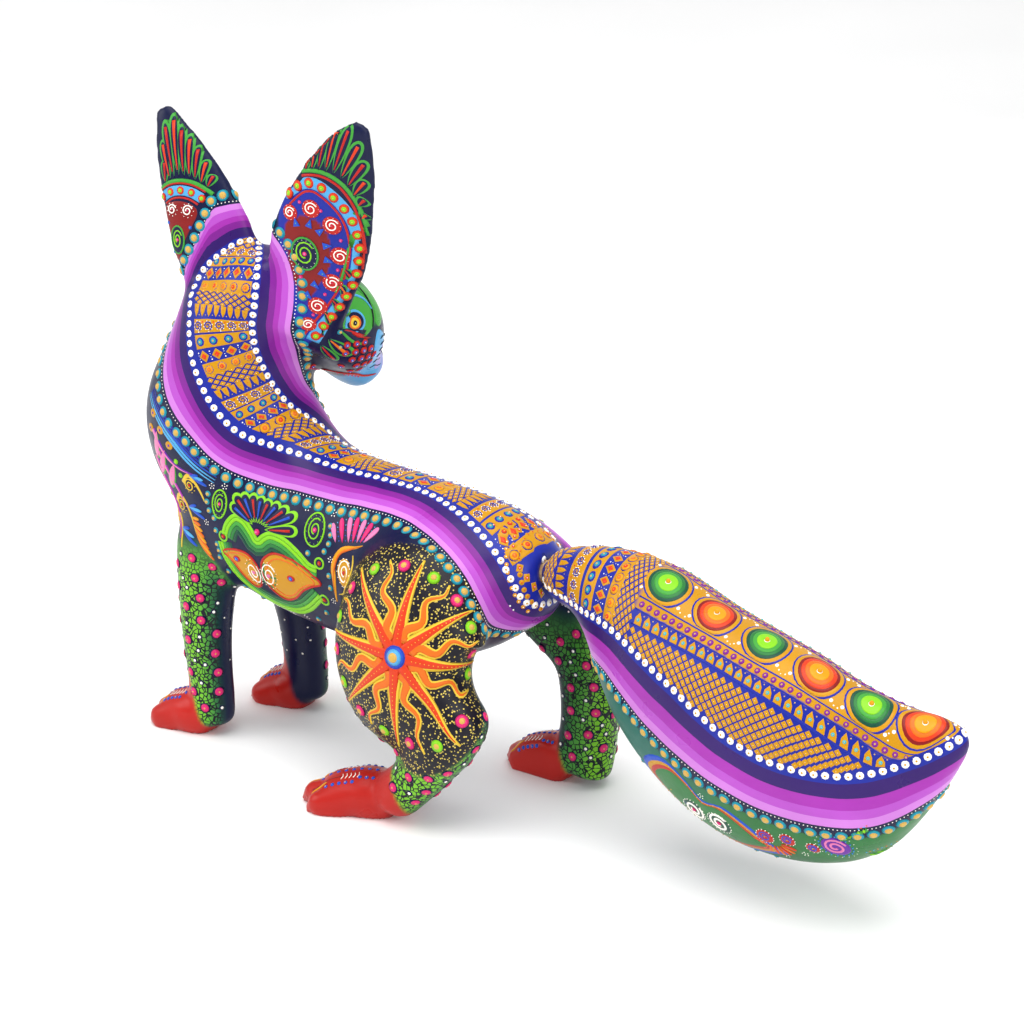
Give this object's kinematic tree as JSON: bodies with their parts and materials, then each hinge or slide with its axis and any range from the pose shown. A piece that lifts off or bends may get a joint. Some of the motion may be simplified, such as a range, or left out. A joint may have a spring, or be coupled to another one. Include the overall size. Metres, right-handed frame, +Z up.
{
  "type": "carved wooden fox figure",
  "caption": "Painted carved-wood fox figure with its head turned back, pull-off ears and a large pull-off tail, standing on its paws.",
  "frame": {"origin": "centre of the bounding box at the ground, under the paws", "axes": "+X from the chest towards the tail tip, +Y to the fox's right, +Z up; the paws rest on z = 0"},
  "size_m": [0.3376, 0.0962, 0.2355],
  "materials": {
    "body_paint": "satin acrylic paint on copal wood, navy with a back strip in ochre and ultramarine",
    "head_paint": "satin acrylic paint on copal wood, green and navy",
    "ear_paint": "satin acrylic paint on copal wood, red, blue and green",
    "leg_paint": "satin acrylic paint on copal wood, green legs and red paws",
    "tail_paint": "satin acrylic paint on copal wood, ochre, purple and green",
    "bare_wood": "bare turned hardwood"
  },
  "bodies": {
    "carving": {"torso": "body_paint", "head": "head_paint", "front_left_leg": "leg_paint", "front_right_leg": "leg_paint", "hind_left_leg": "leg_paint", "hind_right_leg": "leg_paint", "neck_dowel": "bare_wood", "front_left_dowel": "bare_wood", "front_right_dowel": "bare_wood", "hind_left_dowel": "bare_wood", "hind_right_dowel": "bare_wood"},
    "left_ear": {"left_ear": "ear_paint", "left_ear_peg": "bare_wood"},
    "right_ear": {"right_ear": "ear_paint", "right_ear_peg": "bare_wood"},
    "tail": {"tail": "tail_paint", "tail_peg": "bare_wood"}
  },
  "joints": [
    {"name": "left_ear_pull", "type": "slide", "parent": "carving", "child": "left_ear", "axis": [-0.431, 0.02, 0.9021], "range_m": [0, 0.03]},
    {"name": "right_ear_pull", "type": "slide", "parent": "carving", "child": "right_ear", "axis": [0.3009, -0.0401, 0.9528], "range_m": [0, 0.03]},
    {"name": "tail_pull", "type": "slide", "parent": "carving", "child": "tail", "axis": [1, 0, 0], "range_m": [0, 0.045]}
  ]
}
